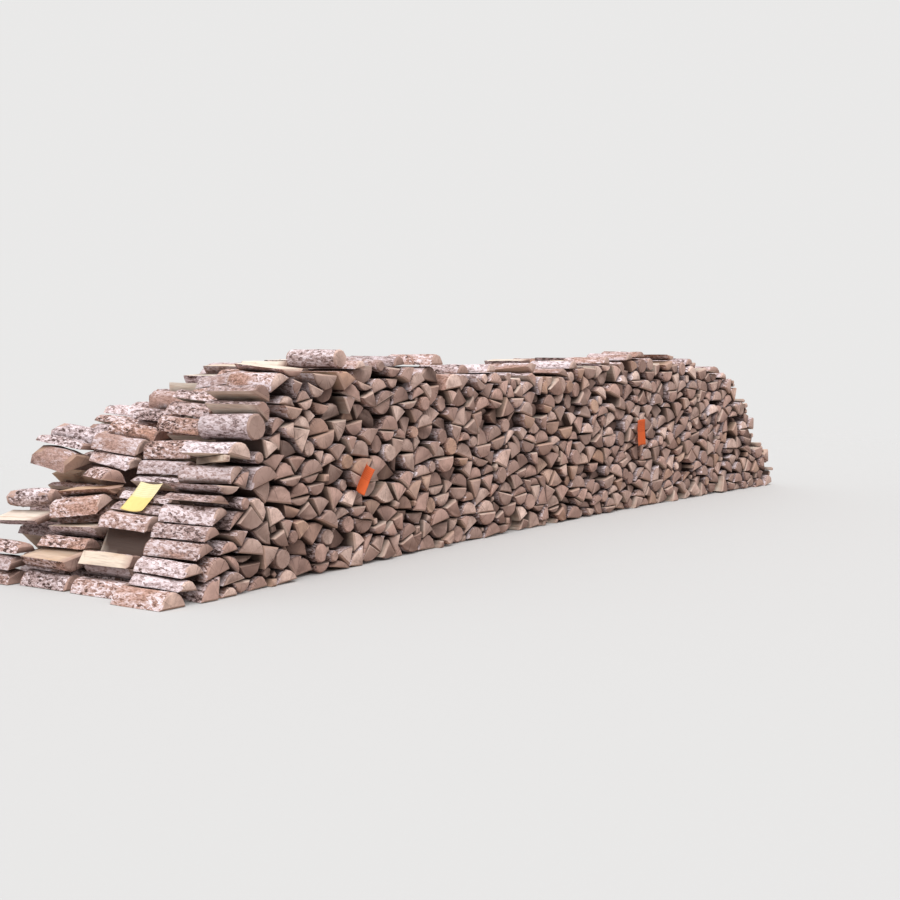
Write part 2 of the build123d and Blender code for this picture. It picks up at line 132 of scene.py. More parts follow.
# Logs in the core's outermost layer: the gap between rows, the play under the core's roof
# and before the log, the layer's depth, how far the search for the open goes to the sides
# and to the front, and a height above the whole pile
ROW_GAP = 0.04
ROOF_PLAY = 0.004
FRONT_PLAY = 0.01
LAYER_DEPTH = 0.14
SIDE_SEARCH = 0.2
FRONT_SEARCH = 0.3
ABOVE_PILE = 3.0

# Added to the seed for the copies of logs that cover the core, and from row to row
COVER_SEED = 40
ROW_SEED = 10

# Sheen, relief and shift of the patterns from log to log, in every finish
SHEEN = 0.25
BUMP_STRENGTH = 0.8
PATTERN_SHIFT = 7.0

# Rings in radians per metre and their waver in radians, drying cracks round the heart and
# their waver along the log, the length of a split face that its grey end, partly weathering
# and partly painted shade, is graded over, bark scales per metre and their waver in metres,
# and ruled lines in radians per height of a tag
RING_TURN = 1150.0
RING_WAVER = 9.0
CRACKS = 5.0
CRACK_WAVER = 2.0
END_GREY_AND_SHADE_LENGTH = 0.125
BARK_SCALES = 95.0
SCALE_WAVER = 0.02
LINE_TURN = 95.0

# Heads of the tags
ORANGE_HEAD = (0.60, 0.10, 0.025)
YELLOW_HEAD = (0.90, 0.82, 0.56)

# Tags: node, half the angle of the roll, and size across and upwards against the source
TAGS = (("orange_tag_left", 0.9, 0.8, 1.2),
        ("orange_tag_right", 0.4, 1.0, 1.0),
        ("yellow_tag", 0.25, 1.25, 1.0))

# Cuts along a tag's side, least area of its front, thickness of the card, lift of its
# corners, and height and number per metre of its creases
TAG_CUTS = 14
TAG_FRONT_AREA = 0.01
CARD_THICKNESS = 0.0005
CORNER_LIFT = 0.004
CREASE_HEIGHT = 0.002
CREASES = 18

# Floor and background, as they light the pile and as the camera sees them
FLOOR_COLOUR = (0.40, 0.345, 0.31, 1.0)
FLOOR_SEEN = (0.61, 0.602, 0.595, 1.0)
SKY_COLOUR = (0.97, 0.97, 0.98, 1.0)
SKY_SEEN = (0.82, 0.815, 0.81, 1.0)

# Size of the floor, how far it lies below the logs, and how its fading is drawn out along
# the pile and graded per metre
FLOOR_SIZE = 60.0
FLOOR_DROP = 0.001
FLOOR_SQUEEZE = (0.62, 1.0, 0.0)
FLOOR_FADE = 0.1

# Place and way of the light from above, the camera's place from the lowest corner of the CAD
# box, the width of its frame in millimetres and how far it sees
LAMP_PLACE = (-6.0, -6.0, 8.0)
LAMP_WAY = (0.42, 0.42, -1.0)
CAMERA_OFFSET = (-4.835, -5.106)
FRAME_WIDTH = 36.0
FAR_END = 500.0


class LogSizes(bpy.types.PropertyGroup):
    """How the logs are worked over."""

    ring_spacing: bpy.props.FloatProperty(
        name="Ring spacing",
        description="Distance between the cuts across a log behind the front row",
        default=0.055, min=0.02, unit="LENGTH")
    front_ring_spacing: bpy.props.FloatProperty(
        name="Front ring spacing",
        description="Distance between the cuts across a log of the front row",
        default=0.095, min=0.02, unit="LENGTH")
    end_wear: bpy.props.FloatProperty(
        name="End wear", description="Width of the worn edge round a sawn end", default=0.011,
        min=0.0, unit="LENGTH")
    bark_relief: bpy.props.FloatProperty(
        name="Bark relief", description="Depth of the hollows along the bark", default=0.008,
        min=0.0, unit="LENGTH")
    split_relief: bpy.props.FloatProperty(
        name="Split relief", description="Depth of the hollows along a split face", default=0.004,
        min=0.0, unit="LENGTH")
    back_end_depth: bpy.props.FloatProperty(
        name="Back end depth", description="How much shows of the hidden logs' rear ends",
        default=0.10, min=0.0, unit="LENGTH")
    row_pitch: bpy.props.FloatProperty(
        name="Row pitch", description="Distance from one row's front to the next", default=0.434,
        min=0.1, unit="LENGTH")
    core_inset: bpy.props.FloatProperty(
        name="Core inset", description="How far the plain core lies behind the logs that cover it",
        default=0.08, min=0.0, unit="LENGTH")
    core_start: bpy.props.FloatProperty(
        name="Core start", description="Where the plain core starts behind the long slope",
        default=0.7, min=0.0, unit="LENGTH")
    seed: bpy.props.IntProperty(
        name="Seed", description="Start of the chances that colour each log", default=7)


class LogColours(bpy.types.PropertyGroup):
    """Colours of the wood, the bark, the tags and the painted shade."""

    sawn: bpy.props.FloatVectorProperty(
        name="Sawn end", description="Weathered sawn end", subtype="COLOR",
        default=(0.655, 0.42, 0.352))
    sawn_fresh: bpy.props.FloatVectorProperty(
        name="Fresh sawn end", description="Sawn end with little weather on it", subtype="COLOR",
        default=(0.98, 0.735, 0.635))
    split: bpy.props.FloatVectorProperty(
        name="Split face", description="Pale split wood", subtype="COLOR",
        default=(0.97, 0.80, 0.685))
    split_warm: bpy.props.FloatVectorProperty(
        name="Warm split face", description="Resinous split wood", subtype="COLOR",
        default=(0.56, 0.33, 0.19))
    bark: bpy.props.FloatVectorProperty(
        name="Bark", description="Scaly bark", subtype="COLOR", default=(0.51, 0.385, 0.385))
    bark_pale: bpy.props.FloatVectorProperty(
        name="Bark flakes", description="Pale flakes on the bark", subtype="COLOR",
        default=(0.96, 0.83, 0.86))
    # Dark of the bark's furrows and cracks, also used for the painted shade in the gaps and on the
    # core
    furrow_and_shade_dark: bpy.props.FloatVectorProperty(
        name="Bark furrows and shade", description="Dark cracks between the bark scales", subtype="COLOR",
        default=(0.07, 0.04, 0.033))
    bark_inner: bpy.props.FloatVectorProperty(
        name="Inner bark", description="Reddish bark where scales have come off", subtype="COLOR",
        default=(0.42, 0.235, 0.175))
    orange: bpy.props.FloatVectorProperty(
        name="Orange tag", description="Orange paper", subtype="COLOR",
        default=(0.68, 0.125, 0.03))
    yellow: bpy.props.FloatVectorProperty(
        name="Yellow tag", description="Yellow paper", subtype="COLOR", default=(0.90, 0.70, 0.27))


class StudioSizes(bpy.types.PropertyGroup):
    """Camera, lamps and floor."""

    lens: bpy.props.FloatProperty(
        name="Lens", description="Focal length on a 36 mm frame", default=55.0,
        subtype="DISTANCE_CAMERA")
    eye_height: bpy.props.FloatProperty(
        name="Eye height", description="Height of the camera", default=1.32, unit="LENGTH")
    heading: bpy.props.FloatProperty(
        name="Heading", description="Turn of the view away from the rows",
        default=math.radians(34.7), subtype="ANGLE")
    dip: bpy.props.FloatProperty(
        name="Dip", description="How far the camera looks down", default=math.radians(4.1),
        subtype="ANGLE")
    sky: bpy.props.FloatProperty(
        name="Sky", description="Strength of the light all round", default=0.66)
    lamp: bpy.props.FloatProperty(
        name="Lamp", description="Strength of the soft light from above", default=2.5)
    lamp_spread: bpy.props.FloatProperty(
        name="Lamp spread", description="How wide the light from above is",
        default=math.radians(60), subtype="ANGLE")


class Value:
    """A number or colour that a node gives, with the sums that the finishes use."""

    def __init__(self, finish, socket):
        self.finish = finish
        self.socket = socket

    def _sum(self, operation, other):
        return self.finish.node("Math", {"operation": operation}, {0: self, 1: other})

    def __add__(self, other):
        return self._sum("ADD", other)

    def __sub__(self, other):
        return self._sum("SUBTRACT", other)

    def __mul__(self, other):
        return self._sum("MULTIPLY", other)


class Finish:
    """One material, and the one way in which its nodes are added."""

    def __init__(self, name, roughness=0.85):
        self.material = bpy.data.materials.new(name)
        self.material.use_nodes = True
        self.tree = self.material.node_tree
        self.shader = self.tree.nodes["Principled BSDF"]
        self.shader.inputs["Roughness"].default_value = roughness
        self.shader.inputs["Specular IOR Level"].default_value = SHEEN

    def node(self, kind, settings=None, inputs=None, output=0):
        """Adds a node, sets it up and joins its inputs."""
        added = self.tree.nodes.new("ShaderNode" + kind)
        for name, setting in (settings or {}).items():
            if name == "stops":
                self._set_stops(added.color_ramp, setting)
            else:
                setattr(added, name, setting)
        for name, value in (inputs or {}).items():
            self.join(value, added.inputs[name])
        return Value(self, added.outputs[output])

    def _set_stops(self, ramp, stops):
        while len(ramp.elements) < len(stops):
            ramp.elements.new(1.0)
        for element, (place, shade) in zip(ramp.elements, stops):
            element.position = place
            element.color = (shade, shade, shade, 1.0)

    def join(self, value, socket):
        """Links a value into a socket, or sets the socket to a plain one."""
        if isinstance(value, Value):
            self.tree.links.new(value.socket, socket)
        else:
            socket.default_value = value

    def mix(self, share, first, second):
        """A blend of two colours."""
        return self.node("Mix", {"data_type": "RGBA"}, {0: share, 6: first, 7: second}, output=2)

    def ramp(self, value, *stops):
        """A number led through grey stops."""
        return self.node("ValToRGB", {"stops": stops}, {0: value})

    def tone(self):
        """Three chances that each log was dealt."""
        tone = self.node("Attribute", {"attribute_name": "log_tone"}, output=1)
        parts = self.tree.nodes.new("ShaderNodeSeparateXYZ")
        self.join(tone, parts.inputs[0])
        return [Value(self, socket) for socket in parts.outputs]

    def place(self, scale=(1.0, 1.0, 1.0)):
        """The place on the pile, shifted from log to log so that no pattern runs on."""
        where = self.node("TexCoord", output=3)
        tone = self.node("Attribute", {"attribute_name": "log_tone"}, output=1)
        shift = self.node("VectorMath", {"operation": "SCALE"}, {0: tone, 3: PATTERN_SHIFT})
        moved = self.node("VectorMath", {"operation": "ADD"}, {0: where, 1: shift})
        return self.node("VectorMath", {"operation": "MULTIPLY"}, {0: moved, 1: scale})

    def noise(self, place, scale, detail=3.0, roughness=0.55):
        """Soft random shading between 0 and 1."""
        return self.node("TexNoise", None, {"Vector": place, "Scale": scale, "Detail": detail,
                                            "Roughness": roughness})

    def painted_gap_shade(self, start, stop, most):
        """Painted shade: how far the gaps between the logs darken the wood, read from the marked
        rays.
        """
        closed = self.node("Attribute", {"attribute_name": "log_shelter"}, output=2)
        return self.ramp(closed, (start, 0.0), (stop, most))

    def depth_behind_end(self):
        """Distance along the log from its sawn front end, in metres."""
        where = self.node("TexCoord", output=3)
        heart = self.node("Attribute", {"attribute_name": "log_heart"}, output=1)
        apart = self.node("VectorMath", {"operation": "SUBTRACT"}, {0: where, 1: heart})
        return self.node("SeparateXYZ", None, {0: apart}, output=1)

    def colour(self, value):
        """The surface's colour."""
        self.join(value, self.shader.inputs["Base Color"])

    def bump(self, height, depth):
        """Relief finer than the mesh, in metres."""
        bump = self.node("Bump", None, {"Height": height, "Distance": depth,
                                        "Strength": BUMP_STRENGTH})
        self.join(bump, self.shader.inputs["Normal"])


def opaque(colour, gain=1.0):
    """A colour with its alpha, brighter or darker by the gain."""
    return (*[min(part * gain, 1.0) for part in colour], 1.0)


def sawn_finish(colours):
    """Weathered saw cut with rings about the heart, drying cracks and a few fresh ends, with
    painted shade in the gaps.
    """
    finish = Finish("sawn_end", 0.9)
    dealt, weather, hue = finish.tone()
    where = finish.node("TexCoord", output=3)
    heart = finish.node("Attribute", {"attribute_name": "log_heart"}, output=1)
    across = finish.node("VectorMath", {"operation": "SUBTRACT"}, {0: where, 1: heart})
    across = finish.node("VectorMath", {"operation": "MULTIPLY"}, {0: across, 1: (1.0, 0.0, 1.0)})
    reach = finish.node("VectorMath", {"operation": "LENGTH"}, {0: across}, output=1)
    place = finish.place()
    patches = finish.noise(place, 14.0, 4.0)
    rings = finish.node("Math", {"operation": "SINE"}, {
        0: reach * RING_TURN + patches * RING_WAVER})
    around = finish.node("VectorMath", {"operation": "NORMALIZE"}, {0: across})
    spokes = finish.noise(finish.node("VectorMath", {"operation": "ADD"}, {
        0: finish.node("VectorMath", {"operation": "SCALE"}, {0: around, 3: CRACKS}),
        1: finish.node("VectorMath", {"operation": "SCALE"}, {0: place, 3: CRACK_WAVER})
    }), 2.6, 2.0)
    cracks = finish.ramp(spokes, (0.62, 0.0), (0.68, 1.0))
    worn = finish.mix(finish.ramp(weather, (0.3, 0.0), (0.88, 1.0)), opaque(colours.sawn),
                      opaque(colours.sawn_fresh))
    dull = finish.mix(dealt * 0.85, worn, opaque(colours.sawn, 0.42))
    warm = finish.mix(finish.ramp(hue, (0.86, 0.0), (0.99, 0.5)), dull,
                      opaque(colours.split_warm, 1.05))
    ringed = finish.mix((rings * 0.5 + 0.5) * 0.16, warm, opaque(colours.sawn, 0.5))
    patched = finish.mix(finish.ramp(patches, (0.42, 0.0), (0.68, 0.6)), ringed,
                         opaque(colours.sawn, 0.5))
    rough = finish.noise(place, 95.0, 3.0, 0.7)
    torn = finish.mix(finish.ramp(rough, (0.5, 0.0), (0.75, 0.5)), patched,
                      opaque(colours.sawn, 0.55))
    cracked = finish.mix(cracks * 0.6, torn, opaque(colours.furrow_and_shade_dark))
    # Painted shade: darker where other logs close in, so recessed ends and the outer edge of their
    # worn rims look shaded
    finish.colour(finish.mix(finish.painted_gap_shade(0.15, 0.72, 0.96), cracked,
                             opaque(colours.furrow_and_shade_dark)))
    finish.bump(patches * 0.5 + rings * 0.12 - cracks * 0.5, 0.003)
    return finish.material


def split_finish(colours):
    """Split wood: long torn fibres, pale to resinous, greyed in places, greyed near the sawn end
    by weathering and painted shade, and darkened by painted shade in the gaps.
    """
    finish = Finish("split_face", 0.82)
    dealt, _, hue = finish.tone()
    fibres = finish.noise(finish.place((1.0, 0.045, 1.0)), 130.0, 4.0, 0.6)
    streaks = finish.noise(finish.place((1.0, 0.12, 1.0)), 26.0, 3.0)
    patches = finish.noise(finish.place((1.0, 0.5, 1.0)), 7.0, 3.0)
    pale = finish.mix(dealt * 0.6, opaque(colours.split, 1.12), opaque(colours.split, 0.8))
    warm = finish.mix(finish.ramp(hue, (0.55, 0.0), (0.95, 0.8)), pale, opaque(colours.split_warm))
    streaked = finish.mix(finish.ramp(streaks, (0.48, 0.0), (0.75, 0.7)), warm,
                          opaque(colours.split_warm))
    greyed = finish.mix(finish.ramp(patches, (0.52, 0.0), (0.8, 0.55)), streaked,
                        opaque(colours.sawn, 0.8))
    lined = finish.mix(finish.ramp(fibres, (0.50, 0.0), (0.82, 0.6)), greyed,
                       opaque(colours.sawn, 0.38))
    # Greyed near the sawn end: partly weathering, partly painted shade on the split strips seen in
    # the gaps
    behind_end = finish.depth_behind_end()
    near_end = finish.ramp(behind_end * (1 / END_GREY_AND_SHADE_LENGTH), (0.02, 0.8), (0.55, 0.0))
    end_grey_and_shade = finish.mix(near_end, lined, opaque(colours.sawn, 0.7))
    # Painted shade: darker where other logs close in on the split face
    finish.colour(finish.mix(finish.painted_gap_shade(0.25, 0.8, 0.96), end_grey_and_shade,
                             opaque(colours.furrow_and_shade_dark)))
    finish.bump(fibres * 0.6 + streaks, 0.005)
    return finish.material


def bark_finish(colours):
    """Scaly bark: pale and grey flakes over dark bark, reddish where scales came off, with painted
    shade in the gaps.
    """
    finish = Finish("bark", 0.95)
    dealt, weather, hue = finish.tone()
    place = finish.place((1.0, 0.42, 1.0))
    wander = finish.noise(place, 60.0, 2.0)
    bent = finish.node("VectorMath", {"operation": "ADD"}, {
        0: place,
        1: finish.node("VectorMath", {"operation": "SCALE"}, {0: wander, 3: SCALE_WAVER})})
    scales = finish.node("TexVoronoi", {"feature": "F1"},
                         {"Vector": bent, "Scale": BARK_SCALES}, output=1)
    scale_tone = finish.node("SeparateColor", None, {0: scales})
    flecks = finish.noise(place, 170.0, 3.0, 0.65)
    blotches = finish.noise(place, 24.0, 4.0, 0.65)
    missing = finish.noise(finish.place((1.0, 0.3, 1.0)), 7.0, 4.0, 0.6)
    level = scale_tone * 0.28 + flecks * 0.55 + blotches * 0.5 + (weather - 0.5) * 0.14
    warm = finish.mix(hue, opaque(colours.bark), opaque(colours.bark_inner, 1.25))
    mid = finish.mix(finish.ramp(level, (0.48, 0.0), (0.62, 1.0)), opaque(colours.furrow_and_shade_dark), warm)
    flaked = finish.mix(finish.ramp(level, (0.62, 0.0), (0.81, 1.0)), mid,
                        opaque(colours.bark_pale))
    inner = finish.mix(finish.ramp(flecks + scale_tone * 0.2, (0.42, 0.0), (0.75, 1.0)),
                       opaque(colours.bark_inner, 0.6), opaque(colours.bark_inner, 1.6))
    bare = finish.ramp(missing + (hue - 0.5) * 0.22, (0.56, 0.0), (0.66, 0.85))
    patched = finish.mix(bare, flaked, inner)
    dulled = finish.mix(finish.ramp(dealt, (0.5, 0.0), (1.0, 0.35)), patched,
                        opaque(colours.bark, 0.6))
    # Painted shade: darker where other logs close in on the bark
    finish.colour(finish.mix(finish.painted_gap_shade(0.36, 0.85, 0.95), dulled,
                             opaque(colours.furrow_and_shade_dark, 0.8)))
    finish.bump(level - bare * 0.25, 0.012)
    return finish.material


def shaded_core_finish(colours):
    """Wood deep between the logs, painted dark as shade, with a faint grain."""
    finish = Finish("hidden_wood", 0.95)
    where = finish.node("TexCoord", output=3)
    grain = finish.noise(where, 22.0, 4.0)
    finish.colour(finish.mix(grain, opaque(colours.furrow_and_shade_dark, 0.8), opaque(colours.sawn, 0.3)))
    finish.bump(grain, 0.01)
    return finish.material


def paper_finish(name, colour, head):
    """Sun-bleached card with faint ruled lines on its head, and a few creases."""
    finish = Finish(name, 0.7)
    where = finish.node("UVMap", {"uv_map": "paper"})
    up = finish.node("SeparateXYZ", None, {0: where}, output=1)
    lines = finish.node("Math", {"operation": "SINE"}, {0: up * LINE_TURN})
    soft = finish.noise(where, 5.0, 4.0)
    upper = finish.ramp(up, (0.48, 0.0), (0.54, 1.0))
    ground = finish.mix(upper * 0.7, opaque(colour), opaque(head))
    ruled = finish.mix(finish.ramp(lines, (0.75, 0.0), (0.95, 0.4)) * upper, ground,
                       opaque(colour, 0.4))
    finish.colour(finish.mix(finish.ramp(soft, (0.45, 0.0), (0.75, 0.3)), ruled,
                             opaque(colour, 0.75)))
    finish.bump(soft, 0.004)
    return finish.material


FINISHES = {}


def finishes():
    """The pile's materials, made once."""
    if not FINISHES:
        colours = bpy.context.scene.log_colours
        FINISHES["logs"] = [sawn_finish(colours), split_finish(colours), bark_finish(colours)]
        # The core's finish: painted shade for the inside of the pile
        FINISHES["hidden"] = shaded_core_finish(colours)
        FINISHES["orange"] = paper_finish("orange_paper", colours.orange, ORANGE_HEAD)
        FINISHES["yellow"] = paper_finish("yellow_paper", colours.yellow, YELLOW_HEAD)
    return FINISHES


def only(piece):
    """Selects one object and makes it active."""
    bpy.ops.object.select_all(action="DESELECT")
    piece.select_set(True)
    bpy.context.view_layer.objects.active = piece


def copy_of(node, name):
    """An object of its own with a node's mesh, its loose triangles merged back into flat faces."""
    piece = bpy.data.objects.new(name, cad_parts[node].data.copy())
    bpy.context.scene.collection.objects.link(piece)
    piece.data.materials.clear()
    only(piece)
    bpy.ops.object.mode_set(mode="EDIT")
    bpy.ops.mesh.select_all(action="SELECT")
    bpy.ops.mesh.remove_doubles(threshold=SAME_CORNER)
    bpy.ops.mesh.dissolve_limited(angle_limit=SAME_FACE)
    bpy.ops.object.mode_set(mode="OBJECT")
    return piece


def islands(mesh):
    """The logs of a bmesh, each a list of its faces."""
    seen = set()
    for face in mesh.faces:
        if face in seen:
            continue
        log, waiting = [], [face]
        seen.add(face)
        while waiting:
            current = waiting.pop()
            log.append(current)
            for edge in current.edges:
                for other in edge.link_faces:
                    if other not in seen:
                        seen.add(other)
                        waiting.append(other)
        yield log


def heart_of(section, bark_corners):
    """Where a log's rings are centred, from its end's corners and which of them are on bark."""
    count = len(section)
    middle = sum(section, Vector((0, 0, 0))) / count
    if len(bark_corners) == count:
        return middle
    # A wedge: the corner across from the bark
    if len(bark_corners) == 1 and count == 4:
        return max(section, key=lambda corner: (corner - section[bark_corners[0]]).length)
    if not bark_corners:
        return middle + (section[0] - middle).normalized() * HEART_REACH
    # A slab or half: the middle of the circle over its longest side
    sides = [(section[i], section[(i + 1) % count]) for i in range(count)]
    start, stop = max(sides, key=lambda side: (side[1] - side[0]).length)
    half = (stop - start).length / 2
    flat_middle = (start + stop) / 2
    outward = middle - flat_middle
    outward = (outward - outward.project(stop - start)).normalized()
    height = max((section[i] - flat_middle).dot(outward) for i in bark_corners)
    return flat_middle + outward * (height - (half ** 2 + height ** 2) / (2 * height))


def read_logs(piece, seed):
    """Sorts each log's faces into sawn, split and bark, and deals it a tone and a heart.

    Returns the long edges between two bark faces, which are to be rounded.
    """
    chance = random.Random(seed)
    mesh = bmesh.new()
    mesh.from_mesh(piece.data)
    tone = mesh.verts.layers.float_vector.new("log_tone")
    heart = mesh.verts.layers.float_vector.new("log_heart")
    bark_edges = []
    for log in list(islands(mesh)):
        edges = {edge for face in log for edge in face.edges}
        long_edges = {edge for edge in edges if edge.calc_length() > LONG_EDGE}
        turns = {edge: edge.calc_face_angle() for edge in long_edges}
        round_log = max(turns.values()) < ROUND_LOG_CORNER
        rounded = [edge for edge in long_edges if round_log or turns[edge] < BARK_CORNER]
        bark_edges += rounded
        bark_faces = {face for edge in rounded for face in edge.link_faces}
        ends = [face for face in log if not any(edge in long_edges for edge in face.edges)]
        for face in log:
            face.material_index = SAWN if face in ends else BARK if face in bark_faces else SPLIT
        front = min(ends, key=lambda face: face.calc_center_median().y)
        corners = list(front.verts)
        on_bark = [i for i, corner in enumerate(corners)
                   if any(edge in rounded for edge in corner.link_edges)]
        centre = heart_of([corner.co.copy() for corner in corners], on_bark)
        dealt = Vector((chance.random(), chance.random(), chance.random()))
        for corner in {corner for face in log for corner in face.verts}:
            corner[tone] = dealt
            corner[heart] = centre
    chosen = [edge.index for edge in bark_edges]
    mesh.to_mesh(piece.data)
    mesh.free()
    return chosen


def select_edges(piece, chosen):
    """Leaves just these edges selected, in edit mode."""
    mesh = piece.data
    for part in (mesh.vertices, mesh.edges, mesh.polygons):
        part.foreach_set("select", np.zeros(len(part), dtype=bool))
    flags = np.zeros(len(mesh.edges), dtype=bool)
    flags[chosen] = True
    mesh.edges.foreach_set("select", flags)
    only(piece)
    bpy.ops.object.mode_set(mode="EDIT")
    bpy.ops.mesh.select_mode(type="EDGE")


def select_faces(piece, test):
    """Leaves just the faces that pass the test selected, in edit mode."""
    mesh = piece.data
    for part in (mesh.vertices, mesh.edges):
        part.foreach_set("select", np.zeros(len(part), dtype=bool))
    mesh.polygons.foreach_set("select", np.array([test(face) for face in mesh.polygons]))
    only(piece)
    bpy.ops.object.mode_set(mode="EDIT")
    bpy.ops.mesh.select_mode(type="FACE")


def wear(piece, sizes):
    """Sinks the bark and the split faces into long shallow hollows, never outwards."""
    mesh = piece.data
    count = len(mesh.vertices)
    depth = np.zeros(count)
    for face in mesh.polygons:
        relief = (0.0, sizes.split_relief, sizes.bark_relief)[face.material_index]
        for corner in face.vertices:
            depth[corner] = max(depth[corner], relief)
    places, normals, tones = (np.zeros(count * 3) for _ in range(3))
    mesh.vertices.foreach_get("co", places)
    mesh.vertices.foreach_get("normal", normals)
    mesh.attributes["log_tone"].data.foreach_get("vector", tones)
    places, normals, tones = places.reshape(-1, 3), normals.reshape(-1, 3), tones.reshape(-1, 3)
    coarse = places * COARSE_WAVES + tones * WAVE_SHIFT
    fine = places * FINE_WAVES + tones * WAVE_SHIFT
    sink = np.array([
        MEAN_HOLLOW + COARSE_SHARE * noise.noise(one) + FINE_SHARE * noise.noise(other)
        for one, other in zip(coarse.tolist(), fine.tolist())])
    places -= normals * (depth * sink.clip(0.0, 1.0))[:, None]
    mesh.vertices.foreach_set("co", places.ravel())
    mesh.update()


def tree_of(meshes):
    """A search tree over several meshes."""
    corners, faces = [], []
    for mesh in meshes:
        first = len(corners)
        corners += [corner.co[:] for corner in mesh.vertices]
        faces += [[first + corner for corner in face.vertices] for face in mesh.polygons]
    return BVHTree.FromPolygons(corners, faces)


def mark_gap_shade(piece, neighbours):
    """Marks how far other logs close in on each corner, from 0 in the open to 1 in a gap; the
    finishes paint shade from it.
    """
    rays = [(math.cos(turn), math.sin(turn))
            for turn in np.arange(GAP_SHADE_RAYS) * 2 * math.pi / GAP_SHADE_RAYS]
    closed = []
    for vertex in piece.data.vertices:
        normal = vertex.normal.copy()
        side = normal.orthogonal().normalized()
        other = normal.cross(side)
        start = vertex.co + normal * GAP_SHADE_START
        ways = [normal * GAP_SHADE_STEEPNESS + side * a + other * b for a, b in rays]
        hits = [neighbours.ray_cast(start, way, GAP_SHADE_REACH)[0] for way in ways]
        closed.append(sum(hit is not None for hit in hits) / len(hits))
    mark = piece.data.attributes.new("log_shelter", "FLOAT", "POINT")
    mark.data.foreach_set("value", closed)


def round_logs(node, name, sizes, seed, steps=FRONT_STEPS):
    """A copy of a node's logs with round bark and worn ends."""
    piece = copy_of(node, name)
    for material in finishes()["logs"]:
        piece.data.materials.append(material)
    chosen = read_logs(piece, seed)
    select_edges(piece, chosen)
    bpy.ops.mesh.bevel(offset_type="PERCENT", offset_pct=BARK_ROUND, segments=steps,
                       affect="EDGES", clamp_overlap=True)
    bpy.ops.object.mode_set(mode="OBJECT")
    select_faces(piece, lambda face: face.material_index == SAWN)
    bpy.ops.mesh.region_to_loop()
    bpy.ops.mesh.bevel(offset_type="OFFSET", offset=sizes.end_wear, segments=1, affect="EDGES",
                       clamp_overlap=True)
    bpy.ops.object.mode_set(mode="OBJECT")
    return piece


def dress_logs(node, sizes, seed):
    """A node's logs, rounded, cut across in rings and with rough sides."""
    front = node.startswith("front_row")
    spacing = sizes.front_ring_spacing if front else sizes.ring_spacing
    name = node.replace("_logs", "") + "_dressed"
    piece = round_logs(node, name, sizes, seed, FRONT_STEPS if front else REAR_STEPS)
    only(piece)
    bpy.ops.object.mode_set(mode="EDIT")
    low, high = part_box(node)
    cut = low[1] + spacing
    while cut < high[1]:
        bpy.ops.mesh.select_all(action="SELECT")
        bpy.ops.mesh.bisect(plane_co=(0, cut, 0), plane_no=(0, 1, 0))
        cut += spacing
    bpy.ops.object.mode_set(mode="OBJECT")
    wear(piece, sizes)
    only(piece)
    bpy.ops.object.shade_smooth_by_angle(angle=SHARP_TURN)
    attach(piece, "root")
    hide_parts(node)
    return piece


def rear_of_core():
    """Stations along the core's rear face: places, depths and heights of its upper edge."""
    corners = np.array([corner.co[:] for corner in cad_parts["hidden_core"].data.vertices])
    upper = {}
    for x, y, z in corners[corners[:, 2] > CORE_FOOT]:
        key = round(float(x), 4)
        if key not in upper or y > upper[key][0]:
            upper[key] = (float(y), float(z))
    stations = sorted(upper)
    return np.array(stations), np.array([upper[x][0] for x in stations]), np.array(
        [upper[x][1] for x in stations])


def front_copies(name, sizes, seed):
    """One object with a copy of every log in the front row's bays."""
    bays = [node for node in LOG_NODES if node.startswith("front_row")]
    pieces = [round_logs(node, name, sizes, seed + number) for number, node in enumerate(bays)]
    only(pieces[0])
    for piece in pieces[1:]:
        piece.select_set(True)
    bpy.ops.object.join()
    return pieces[0]


def keep_logs(piece, place_log):
    """Gives each log the places that the function works out for it, and deletes it for None."""
    mesh = piece.data
    count = len(mesh.vertices)
    places, hearts = np.zeros(count * 3), np.zeros(count * 3)
    mesh.vertices.foreach_get("co", places)
    mesh.attributes["log_heart"].data.foreach_get("vector", hearts)
    places, hearts = places.reshape(-1, 3), hearts.reshape(-1, 3)
    _, log_of = np.unique(hearts.round(5), axis=0, return_inverse=True)
    log_of = log_of.ravel()
    outside = np.zeros(count, dtype=bool)
    for log in range(log_of.max() + 1):
        mine = log_of == log
        moved = place_log(places[mine])
        if moved is None:
            outside |= mine
        else:
            places[mine] = moved
    mesh.vertices.foreach_set("co", places.ravel())
    for part in (mesh.polygons, mesh.edges):
        part.foreach_set("select", np.zeros(len(part), dtype=bool))
    mesh.vertices.foreach_set("select", outside)
    only(piece)
    bpy.ops.object.mode_set(mode="EDIT")
    bpy.ops.mesh.select_mode(type="VERT")
    bpy.ops.mesh.delete(type="VERT")
    bpy.ops.mesh.select_all(action="SELECT")
    bpy.ops.mesh.normals_make_consistent(inside=False)
    bpy.ops.object.mode_set(mode="OBJECT")


def place_at_back(sizes):
    """The rule that turns a log into a short rear end on the core's back."""
    stations, depths, roof = rear_of_core()

    def place_log(own):
        low, high = own.min(axis=0), own.max(axis=0)
        if not stations[0] + BACK_MARGIN < low[0] < high[0] < stations[-1] - BACK_MARGIN:
            return None
        if high[2] > min(np.interp((low[0], high[0]), stations, roof)) + BACK_MARGIN:
            return None
        middle = (low[0] + high[0]) / 2
        chance = (middle * CHANCES_PER_METRE) % 1.0
        face = np.interp(middle, stations, depths) + BACK_LEAST + BACK_RANGE * chance
        own[:, 1] = face - (own[:, 1] - low[1]).clip(0, sizes.back_end_depth)
        return own

    return place_log


